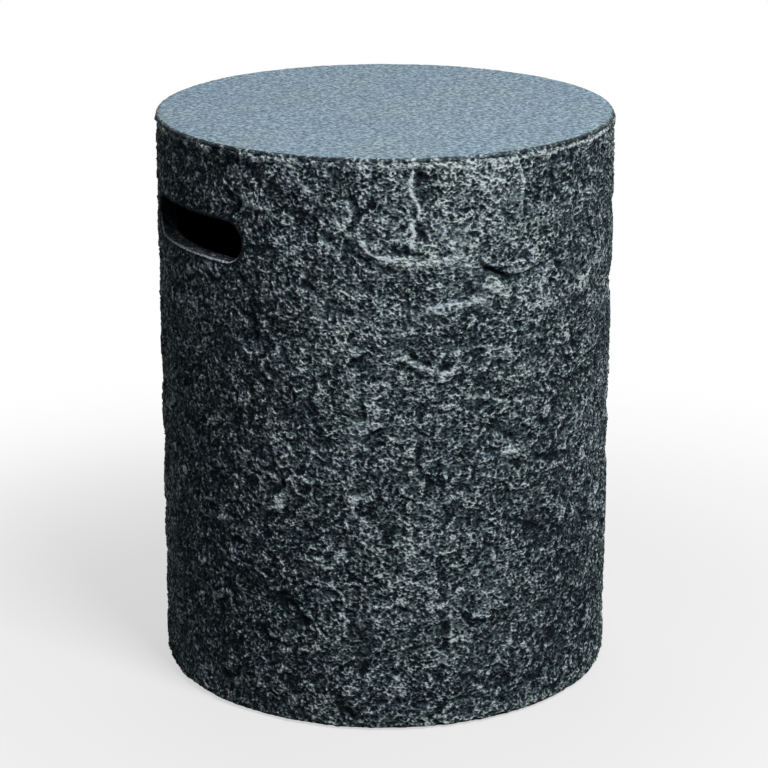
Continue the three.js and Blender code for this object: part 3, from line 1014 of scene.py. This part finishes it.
def turn_from_camera(x, y):
    """Angle round the wall from the line that faces the camera."""
    facing = math.atan2(-math.cos(camera_azimuth), math.sin(camera_azimuth))
    return (np.arctan2(y, x) - facing + math.pi) % (2 * math.pi) - math.pi


# The parts
def make_wall():
    builder = WallBuilder()
    points, normals, shares, faces, maps = builder.arrays()
    height, paint_and_painted_light, calm = side_relief(points)
    paint_and_painted_light = paint_and_painted_light + arris_paint_and_painted_light(points)
    height = np.minimum(height + arris_bead(points), relief_ceiling)
    points = points + normals * (height * shares)[:, None]
    inside = smooth_step(inside_starts, inside_full, shares)
    # Painted highlight on the openings' lips, where they face up
    lit_lip = np.exp(-((shares - lip_relief_share) / lip_blend) ** 2) * smooth_step(-0.1, 0.4, normals[:, 2])
    return mesh_object("rough_drum_wall", points, faces, maps,
                       {"paint_and_painted_light": paint_and_painted_light, "calm": calm, "inside": inside, "lit_lip": lit_lip})


def arris_bead(points):
    """The wall's upper edge stands a little proud, where it met the mould."""
    return bead_height * np.exp(-((arris_depth(points) - bead_drop) / bead_reach) ** 2)


def arris_depth(points):
    """Depth under the wall's upper edge, from a line that rises and falls."""
    depth = wall_top - points[:, 2]
    for height, size, seed in arris_waves:
        depth = depth + height * unit_noise(points, size, seed)
    return depth


def arris_paint_and_painted_light(points):
    """The paler paint along the wall's worn upper edge, in patches, partly a painted highlight on the bead,
    less a thin band of painted shade just under the edge.
    """
    patches = 0.7 + 0.5 * layered_noise(points, *arris_patches)
    reach = arris_reach * (1 + 0.5 * unit_noise(points, *arris_reach_noise))
    ridge = np.exp(-((arris_depth(points) - bead_drop) / reach) ** 2)
    edge = np.exp(-((wall_top - points[:, 2]) / joint_shade) ** 2)
    return arris_paint_and_highlight_most * np.clip(patches, 0, 1.2) * ridge - edge_shade * edge


def disc_grid(count):
    """A square grid of points pressed into a round of radius 1, with evenly spaced edges."""
    line = np.linspace(-1, 1, count + 1)
    a, b = np.meshgrid(line, line)
    wide = abs(a) > abs(b)
    radius = np.where(wide, a, b)
    quarter = math.pi / 4
    with np.errstate(divide="ignore", invalid="ignore"):
        angle = np.where(wide, quarter * b / a, 2 * quarter - quarter * a / b)
    angle = np.nan_to_num(angle)
    return np.stack([radius * np.cos(angle), radius * np.sin(angle)], axis=-1)


class TopBuilder(Patchwork):
    """The slab as one closed skin: a disc on top, rings round the edge, and a disc below."""

    def __init__(self):
        super().__init__()
        flat_radius = top_radius - top_rounding
        disc = disc_grid(round_steps // 4)
        face = np.concatenate([disc * flat_radius, np.full(disc.shape[:2] + (1,), top_face)], axis=-1)
        top_numbers = self.add_points(face, np.array([0.0, 0.0, 1.0]), 1.0)
        self.add_patch(top_numbers, 0.5 + disc * face_place_radius)
        rows = self.side_rows(flat_radius)
        angles = np.unwrap(self.edge_of(np.arctan2(disc[..., 1], disc[..., 0])))
        radius, height, out, up, share = (rows[:, [i]] for i in range(5))
        points = on_round(radius, angles[None, :], height)
        normals = on_round(out, angles[None, :], up)
        rings = self.add_points(points, normals, np.broadcast_to(share, points.shape[:2]))
        ring = np.vstack([self.edge_of(top_numbers)[None], rings])
        reach = np.linspace(face_place_radius, edge_place_radius, len(ring))[:, None]
        places = 0.5 + on_round(reach, angles[None, :], 0.0)[..., :2]
        self.add_patch(close_round(ring)[::-1], close_round(places)[::-1])
        self.close_below(ring[-1], angles)

    def side_rows(self, flat_radius):
        """Rows down the slab's edge and in to the spigot's foot, as in the wall's section."""
        rows = []
        for angle in np.linspace(math.pi / 2, 0, rounding_steps + 1)[1:]:
            rows.append((flat_radius + top_rounding * math.cos(angle),
                         top_face - top_rounding + top_rounding * math.sin(angle),
                         math.cos(angle), math.sin(angle), 1.0))
        foot = lip_underside + lip_bevel
        for height in np.linspace(top_face - top_rounding, foot, lip_side_steps)[1:]:
            rows.append((top_radius, height, 1.0, 0.0, 1.0))
        rows.append((top_radius - lip_bevel, lip_underside, 0.3, 0.0, 0.5))
        rows.append((spigot_radius, lip_underside, 0.0, 0.0, 0.0))
        rows.append((spigot_radius, spigot_underside + spigot_bevel, 0.0, 0.0, 0.0))
        rows.append((spigot_radius - spigot_bevel, spigot_underside, 0.0, 0.0, 0.0))
        return np.array(rows)

    def edge_of(self, grid):
        """The values round a square grid's edge, anticlockwise from its lower right corner."""
        return np.concatenate([grid[:-1, -1], grid[-1, :0:-1], grid[:0:-1, 0], grid[0, :-1]])

    def close_below(self, edge, angles):
        """The underside, as shrinking rings and a middle fan of four-sided faces."""
        down = np.array([0.0, 0.0, -1.0])
        shares = np.linspace(1, below_hub_share, below_rings)[1:]
        radius = (spigot_radius - spigot_bevel) * shares[:, None]
        points = on_round(radius, angles[None, :], spigot_underside)
        rings = self.add_points(points, down, 0.0)
        closed = close_round(np.vstack([edge[None], rings]))
        turns = np.append(angles, angles[0])
        reach = below_place_radius * np.concatenate([[1], shares])[:, None]
        places = below_place_middle + on_round(reach, turns[None, :], 0.0)[..., :2]
        self.add_patch(closed[::-1], places[::-1])
        middle = self.add_points(np.array([[0.0, 0.0, spigot_underside]]), down, 0.0)[0]
        last, last_places = closed[-1], places[-1]
        for start in range(0, len(angles), 2):
            corners = [start, start + 1, start + 2]
            a, b, c = last[corners]
            at_a, at_b, at_c = last_places[corners]
            self.faces.append(np.array([[a, middle, c, b]]))
            self.maps.append(np.array([[at_a, np.full(2, below_place_middle), at_c, at_b]]))


def make_top():
    builder = TopBuilder()
    points, normals, shares, faces, maps = builder.arrays()
    height, paint_and_painted_light, calm = side_relief(points)
    radius = np.hypot(points[:, 0], points[:, 1])
    band = smooth_step(top_radius - band_reach, top_radius - band_full_share * band_reach, radius)
    band = np.where(points[:, 2] < top_face - top_rounding, 1.0, band)
    dimples = dimple_depth * layered_noise(points, *dimple_lumps)
    dimples = dimples + fine_dimple_depth * unit_noise(points, *fine_dimple_noise)
    dimples = np.minimum(dimples - dimple_depth, -dimple_floor)
    side = band_relief_share * height - band_set_back
    depth = dimples * (1 - band) + np.minimum(side, band_ceiling) * band
    points = points + normals * (depth * shares)[:, None]
    return mesh_object("fine_grained_top", points, faces, maps,
                       {"paint_and_painted_light": paint_and_painted_light + band_paint, "calm": calm, "band": band})


def make_joint():
    """The bed of mortar as a closed ring, its outer face as rough as the wall's."""
    builder = Patchwork()
    seat, face = inner_radius(seat_foot), wall_face - joint_rake
    middle = (joint_low.z + joint_high.z) / 2
    rows = np.array([(seat, joint_low.z, 0), (face, joint_low.z, 1), (face, middle, 1),
                     (face, joint_high.z, 1), (seat, joint_high.z, 0)])
    angles = np.linspace(0, 2 * math.pi, round_steps + 1)
    radius, height, share = (rows[:, [i]] for i in range(3))
    points = on_round(radius, angles[None, :-1], height)
    numbers = builder.add_points(points, on_round(1.0, angles[None, :-1], 0.0),
                                 np.broadcast_to(share, points.shape[:2]))
    ring = close_round(np.vstack([numbers, numbers[:1]]))
    across, along = np.meshgrid(angles / (2 * math.pi), np.linspace(0, 1, len(ring)))
    builder.add_patch(ring, np.stack([across, along], axis=-1))
    points, normals, shares, faces, maps = builder.arrays()
    height, paint_and_painted_light, calm = side_relief(points)
    height = np.minimum(joint_relief_share * height, joint_ceiling)
    points = points + normals * (height * shares)[:, None]
    return mesh_object("rough_mortar_bed", points, faces, maps, {"paint_and_painted_light": paint_and_painted_light + joint_paint, "calm": calm})


# Colours of the materials, as ramps with stops of (place, grey or colour)
side_colours = [(0.12, (0.0060, 0.0110, 0.0135)), (0.30, (0.0180, 0.0290, 0.0350)),
                (0.42, (0.044, 0.0650, 0.0755)), (0.52, (0.090, 0.121, 0.135)),
                (0.62, (0.178, 0.224, 0.244)), (0.74, (0.350, 0.413, 0.438)), (0.90, (0.62, 0.69, 0.72))]
side_tints = [(0.38, (0.96, 1.00, 1.04)), (0.5, (0.98, 1.01, 1)), (0.62, (0.99, 1.02, 0.96))]
# Inside colours: near-black as painted shade on the dark casting; the pale end is reached by painted light
# and the lips' painted highlight
inside_colours = [(0.45, (0.003, 0.004, 0.006)), (0.62, (0.008, 0.011, 0.016)),
                  (0.84, (0.075, 0.092, 0.118)), (1.00, (0.50, 0.56, 0.61))]
# Top colours: blue-grey, the blue partly a painted reflection of the sky
top_colours = [(0.40, (0.066, 0.114, 0.158)), (0.465, (0.136, 0.212, 0.268)),
               (0.50, (0.188, 0.278, 0.346)), (0.535, (0.250, 0.352, 0.425)), (0.60, (0.392, 0.510, 0.584))]
top_tints = [(0.35, (0.97, 0.99, 1.03)), (0.5, (1, 1, 1)), (0.65, (1.03, 1.02, 0.97))]
rubber_colours = [(0.3, (0.006, 0.006, 0.007)), (0.7, (0.016, 0.016, 0.018))]
steel_colours = [(0.3, (0.42, 0.43, 0.44)), (0.7, (0.60, 0.61, 0.62))]
brass_colours = [(0.3, (0.42, 0.30, 0.13)), (0.7, (0.62, 0.46, 0.22))]
side_roughness, top_roughness = [(0.0, 0.98), (1.0, 0.86)], [(0.3, 0.62), (0.7, 0.80)]
mortar_roughness, rubber_roughness = [(0.3, 0.98), (0.7, 0.88)], [(0.3, 0.75), (0.7, 0.9)]
steel_roughness, brass_roughness, dulled = 0.3, 0.35, 0.12
band_stops = [(0.35, 0.0), (0.60, 1.0)]

# Noises of the materials, as size in metres, detail, roughness and seed
grain_noise, speck_noise, patch_noise = (0.0040, 1, 0.6, 4.3), (0.0023, 0, 0.5, 5.9), (0.040, 2, 0.5, 7.7)
tint_noise, inside_noise = (0.026, 3, 0.6, 1.3), (0.005, 4, 0.6, 5.0)
top_noise, top_speck_noise = (0.0046, 2, 0.6, 2.0), (0.0026, 0, 0.6, 2.7)
mottle_noise, top_tint_noise = (0.013, 3, 0.6, 4.0), (0.070, 3, 0.5, 6.0)
band_noise, mortar_noise = (0.0060, 2, 0.6, 8.0), (0.0018, 3, 0.6, 1.0)
rubber_noise, metal_noise = (0.0008, 3, 0.6, 1.5), (0.0006, 4, 0.6, 2.5)

# Bumps, as strength and distance, and other values of the materials
side_bump, top_bump, mortar_bump = (1.0, 0.00045), (0.6, 0.0006), (0.8, 0.0006)
rubber_bump, metal_bump = (0.3, 0.0001), (0.2, 0.00005)
side_gloss, top_gloss = 0.12, 0.25
paint_contrast = 0.152
# Painted light on inside faces that face up, and a painted highlight on the openings' lips
facing_up_light_share, lit_lip_share = 0.32, 0.48
noise_spread = 0.12        # of a Noise Texture with no detail
folded_mean, folded_spread = 0.8 * noise_spread, 0.6 * noise_spread


# Materials
def node_material(name):
    made = bpy.data.materials.new(name)
    made.use_nodes = True
    tree = made.node_tree
    return made, tree, tree.nodes["Principled BSDF"]


def fill(tree, socket, value):
    """Links a socket to another node's output, or sets the socket itself to a constant."""
    if isinstance(value, bpy.types.NodeSocket):
        tree.links.new(value, socket)
    elif socket.type == "RGBA":
        socket.default_value = (*value, 1)
    else:
        socket.default_value = value


def put(tree, kind, **settings):
    """Adds a node. Settings that name a socket fill it, and the others are the node's own."""
    node = tree.nodes.new(kind)
    for key, value in settings.items():
        if key in node.inputs:
            fill(tree, node.inputs[key], value)
        else:
            setattr(node, key, value)
    return node


def ramp(tree, factor, stops):
    """A colour ramp with stops of (place, grey or colour)."""
    node = put(tree, "ShaderNodeValToRGB", Fac=factor)
    held = node.color_ramp
    for number, (place, colour) in enumerate(stops):
        element = held.elements[number] if number < 2 else held.elements.new(place)
        element.position = place
        element.color = (*colour, 1) if hasattr(colour, "__len__") else (colour, colour, colour, 1)
    return node.outputs["Color"]


def noise(tree, size, detail=2.0, roughness=0.5, seed=0.0):
    """Procedural noise of a size in metres, fixed to the object, and a little lower than it is wide."""
    place = put(tree, "ShaderNodeTexCoord").outputs["Object"]
    moved = put(tree, "ShaderNodeMapping", Vector=place, Location=(seed, 2 * seed, 3 * seed),
                Scale=tuple(grain_squeeze))
    node = put(tree, "ShaderNodeTexNoise", Vector=moved.outputs["Vector"], Scale=1 / size,
               Detail=detail, Roughness=roughness)
    return node.outputs["Fac"]


def attribute(tree, name):
    return put(tree, "ShaderNodeAttribute", attribute_name=name).outputs["Fac"]


def maths(tree, operation, first, second, clamp=False):
    node = put(tree, "ShaderNodeMath", operation=operation, use_clamp=clamp)
    fill(tree, node.inputs[0], first)
    fill(tree, node.inputs[1], second)
    return node.outputs[0]


def plus(tree, total, value, share):
    """The total with a share of the value added."""
    return maths(tree, "ADD", total, maths(tree, "MULTIPLY", value, share))


def mix(tree, factor, first, second, blend="MIX"):
    node = put(tree, "ShaderNodeMix", data_type="RGBA", blend_type=blend)
    for number, value in ((0, factor), (6, first), (7, second)):
        fill(tree, node.inputs[number], value)
    return node.outputs[2]


def finish_shader(tree, shader, colour, roughness, relief, bump_values):
    """Gives a shader its colour and roughness, and a bump made of a height."""
    strength, distance = bump_values
    fill(tree, shader.inputs["Base Color"], colour)
    fill(tree, shader.inputs["Roughness"], roughness)
    bump = put(tree, "ShaderNodeBump", Height=relief, Strength=strength, Distance=distance)
    fill(tree, shader.inputs["Normal"], bump.outputs["Normal"])


def scaled(tree, value, middle, spread):
    """The value with that mean and spread turned into one with a mean of 0 and a spread of 1."""
    return maths(tree, "DIVIDE", maths(tree, "SUBTRACT", value, middle), spread)


def folded_crests(tree, size, seed):
    """Thin winding crests, with a mean of 0 and a spread of 1."""
    fold = maths(tree, "ABSOLUTE", maths(tree, "SUBTRACT", noise(tree, size, 0, 0.5, seed), 0.5), 0.0)
    return scaled(tree, maths(tree, "MULTIPLY", fold, -1.0), -folded_mean, folded_spread)


def side_grain(tree):
    """Short crests and grains finer than the mesh, with a mean of 0 and a spread near 1."""
    grains = scaled(tree, noise(tree, *grain_noise), 0.5, noise_spread)
    specks = scaled(tree, noise(tree, *speck_noise), 0.5, noise_spread)
    total = maths(tree, "MULTIPLY", folded_crests(tree, 0.0066, 3.1), 0.50)
    total = plus(tree, total, folded_crests(tree, 0.0044, 3.7), 0.50)
    total = plus(tree, total, grains, 0.60)
    total = plus(tree, total, specks, 0.55)
    steady = maths(tree, "SUBTRACT", 1.15, maths(tree, "MULTIPLY", attribute(tree, "calm"), 0.45))
    return maths(tree, "MULTIPLY", total, steady)


def side_colour(tree, grain):
    """Dark pits, grey flanks and pale dry-brushed crests, with broad tints, and the painted shade and
    painted highlights that the paint values carry.
    """
    patch = scaled(tree, noise(tree, *patch_noise), 0.5, 0.8 * noise_spread)
    value = maths(tree, "ADD", attribute(tree, "paint_and_painted_light"), grain)
    value = plus(tree, value, patch, 0.12)
    share = maths(tree, "ADD", maths(tree, "MULTIPLY", value, paint_contrast), 0.5, clamp=True)
    base = ramp(tree, share, side_colours)
    tint = ramp(tree, noise(tree, *tint_noise), side_tints)
    return mix(tree, 1.0, base, tint, "MULTIPLY")


def side_stone():
    """Dry-brushed slate outside, and the dark unpainted casting inside, made near-black as painted shade,
    with painted light where it faces up and a painted highlight on the openings' lips.
    """
    made, tree, shader = node_material("rough_side_stone")
    grain = side_grain(tree)
    rough = side_colour(tree, grain)
    facing = put(tree, "ShaderNodeSeparateXYZ", Vector=put(tree, "ShaderNodeNewGeometry").outputs["Normal"])
    # Painted light where the inside faces up, and a painted highlight on the lips
    inside_tone_and_light = plus(tree, noise(tree, *inside_noise), facing.outputs["Z"], facing_up_light_share)
    inside_tone_and_light = plus(tree, inside_tone_and_light, attribute(tree, "lit_lip"), lit_lip_share)
    colour = mix(tree, attribute(tree, "inside"), rough, ramp(tree, inside_tone_and_light, inside_colours))
    roughness = ramp(tree, attribute(tree, "paint_and_painted_light"), side_roughness)
    finish_shader(tree, shader, colour, roughness, grain, side_bump)
    shader.inputs["Specular IOR Level"].default_value = side_gloss
    return made


def top_stone():
    """Fine light blue-grey stone, its blue partly a painted reflection of the sky, with a ragged band of the
    side's rough stone round its edge.
    """
    made, tree, shader = node_material("fine_top_stone")
    fine = noise(tree, *top_noise)
    mottle = noise(tree, *mottle_noise)
    value = plus(tree, maths(tree, "MULTIPLY", fine, 0.5), mottle, 0.2)
    value = plus(tree, value, noise(tree, *top_speck_noise), 0.3)
    tint = ramp(tree, noise(tree, *top_tint_noise), top_tints)
    face = mix(tree, 1.0, ramp(tree, value, top_colours), tint, "MULTIPLY")
    edge_noise = maths(tree, "SUBTRACT", noise(tree, *band_noise), 0.5)
    band = ramp(tree, plus(tree, attribute(tree, "band"), edge_noise, 2.2), band_stops)
    colour = mix(tree, band, face, side_colour(tree, side_grain(tree)))
    finish_shader(tree, shader, colour, ramp(tree, mottle, top_roughness), fine, top_bump)
    shader.inputs["Specular IOR Level"].default_value = top_gloss
    return made


def mortar():
    made, tree, shader = node_material("raked_mortar")
    grit = noise(tree, *mortar_noise)
    colour = side_colour(tree, side_grain(tree))
    finish_shader(tree, shader, colour, ramp(tree, grit, mortar_roughness), grit, mortar_bump)
    shader.inputs["Specular IOR Level"].default_value = side_gloss
    return made


def rubber():
    made, tree, shader = node_material("foot_rubber")
    grain = noise(tree, *rubber_noise)
    roughness = ramp(tree, grain, rubber_roughness)
    finish_shader(tree, shader, ramp(tree, grain, rubber_colours), roughness, grain, rubber_bump)
    return made


def turned_metal(name, colours, smoothest):
    """Metal with fine tool marks and a few dull spots."""
    made, tree, shader = node_material(name)
    marks = noise(tree, *metal_noise)
    roughness = ramp(tree, marks, [(0.3, smoothest + dulled), (0.7, smoothest)])
    finish_shader(tree, shader, ramp(tree, marks, colours), roughness, marks, metal_bump)
    shader.inputs["Metallic"].default_value = 1.0
    return made


def finish_with(obj, material):
    obj.data.materials.clear()
    obj.data.materials.append(material)


# Stage
floor_reach = 6.0
floor_grey = 0.80
floor_roughness, floor_gloss = 0.9, 0.1
bounced_share = 0.30
clear_reach, fade_reach = 0.24, 0.90
glow_near = 0.60
room_strength = 0.10
lamp_distance = 2.6
lamps = {"key": (32, 50, 0.9, 54.0), "back": (185, 50, 1.6, 14.0)}     # azimuth, elevation, size and power


def make_floor():
    """A pale floor that takes the cover's shadow, and fades to plain white away from it."""
    bpy.ops.mesh.primitive_plane_add(size=2 * floor_reach, location=(0, 0, 0))
    floor = bpy.context.object
    floor.name = "floor"
    made, tree, shader = node_material("pale_floor")
    place = put(tree, "ShaderNodeTexCoord").outputs["Object"]
    away = put(tree, "ShaderNodeVectorMath", operation="LENGTH", Vector=place).outputs["Value"]
    faded = put(tree, "ShaderNodeMapRange", interpolation_type="SMOOTHSTEP", Value=away,
                **{"From Min": clear_reach, "From Max": fade_reach, "To Min": glow_near, "To Max": 1.0})
    seen = put(tree, "ShaderNodeLightPath").outputs["Is Camera Ray"]
    bounced = maths(tree, "ADD", maths(tree, "MULTIPLY", seen, 1 - bounced_share), bounced_share)
    fill(tree, shader.inputs["Base Color"], maths(tree, "MULTIPLY", bounced, floor_grey))
    shader.inputs["Roughness"].default_value = floor_roughness
    shader.inputs["Specular IOR Level"].default_value = floor_gloss
    glow = put(tree, "ShaderNodeEmission", Color=(1, 1, 1), Strength=1.0)
    share = maths(tree, "MULTIPLY", seen, faded.outputs["Result"])
    both = put(tree, "ShaderNodeMixShader")
    for socket, source in zip(both.inputs, (share, shader.outputs[0], glow.outputs[0])):
        fill(tree, socket, source)
    fill(tree, tree.nodes["Material Output"].inputs["Surface"], both.outputs[0])
    finish_with(floor, made)


def make_room():
    """White to the camera and in reflections, and a weak light otherwise."""
    world = bpy.data.worlds.new("studio")
    bpy.context.scene.world = world
    world.use_nodes = True
    tree = world.node_tree
    sky = tree.nodes["Background"]
    paths = put(tree, "ShaderNodeLightPath")
    seen = maths(tree, "MAXIMUM", paths.outputs["Is Camera Ray"], paths.outputs["Is Glossy Ray"])
    seen = maths(tree, "MAXIMUM", seen, paths.outputs["Is Transmission Ray"])
    strength = maths(tree, "ADD", maths(tree, "MULTIPLY", seen, 1 - room_strength), room_strength)
    sky.inputs["Color"].default_value = (1, 1, 1, 1)
    fill(tree, sky.inputs["Strength"], strength)


def add_lamp(name, azimuth, elevation, size, power):
    """A soft square lamp that faces the cover's middle, placed by angles as the camera is."""
    turn = camera_azimuth + math.radians(azimuth)
    rise = math.radians(elevation)
    target = Vector((0, 0, top_face / 2))
    aside = Vector((math.sin(turn) * math.cos(rise), -math.cos(turn) * math.cos(rise), math.sin(rise)))
    data = bpy.data.lights.new(name, "AREA")
    data.size = size
    data.energy = power
    lamp = bpy.data.objects.new(name, data)
    lamp.location = target + aside * lamp_distance
    lamp.rotation_euler = aside.to_track_quat("Z", "Y").to_euler()
    bpy.context.scene.collection.objects.link(lamp)


def make_camera():
    data = bpy.data.cameras.new("photo_camera")
    data.sensor_width = sensor_width * 1000
    data.lens = focal_pixels * sensor_width * 1000 / image_pixels
    camera = bpy.data.objects.new("photo_camera", data)
    camera.location = camera_axes()[0]
    camera.rotation_euler = (math.pi / 2 - camera_pitch, 0, camera_azimuth + camera_turn)
    bpy.context.scene.collection.objects.link(camera)
    bpy.context.scene.camera = camera


def dress(obj):
    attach(obj, "root")


make_camera()
make_room()
make_floor()
for lamp_name, lamp_values in lamps.items():
    add_lamp(lamp_name, *lamp_values)

wall = make_wall()
finish_with(wall, side_stone())
dress(wall)
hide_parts("drum_wall")

top = make_top()
finish_with(top, top_stone())
dress(top)
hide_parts("table_top")

joint = make_joint()
finish_with(joint, mortar())
dress(joint)
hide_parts("mortar_joint")

foot_rubber = rubber()
screw_steel = turned_metal("screw_steel", steel_colours, steel_roughness)
sleeve_brass = turned_metal("sleeve_brass", brass_colours, brass_roughness)
for name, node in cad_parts.items():
    if name.startswith("foot_pad"):
        finish_with(node, foot_rubber)
    elif name.startswith("foot_screw"):
        finish_with(node, screw_steel)
    elif name.startswith("foot_insert"):
        finish_with(node, sleeve_brass)

bpy.context.scene.view_settings.view_transform = "Standard"
